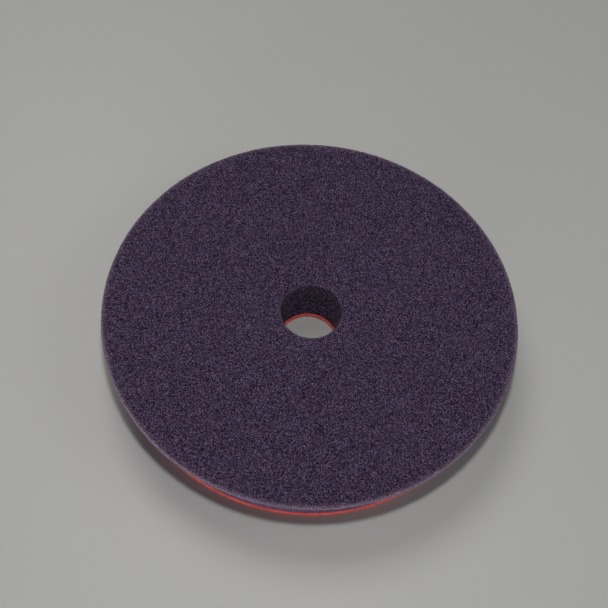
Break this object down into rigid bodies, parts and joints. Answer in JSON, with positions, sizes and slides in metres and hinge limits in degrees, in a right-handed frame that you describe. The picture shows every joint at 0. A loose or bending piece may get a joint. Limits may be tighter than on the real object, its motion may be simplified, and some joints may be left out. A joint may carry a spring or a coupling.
{
  "type": "polishing pad",
  "caption": "Round foam polishing pad with slanted sides, a through hole at its centre and a loop cloth backing for a hook plate.",
  "frame": {"origin": "centre of the loop backing's lower face, on the pad's axis", "axes": "+Z along the pad's axis, from the loop backing to the working face; X and Y in the plane of the backing, both equivalent"},
  "size_m": [0.15, 0.15, 0.023],
  "materials": {
    "foam": "matte open-cell polyurethane foam, dark purple",
    "film": "thin hot-melt adhesive, satin, dark against the foam",
    "loop": "brushed nylon loop pile on a knitted ground, red"
  },
  "bodies": {
    "root": {"foam_disc": "foam", "laminating_film": "film", "loop_backing": "loop"}
  },
  "joints": []
}
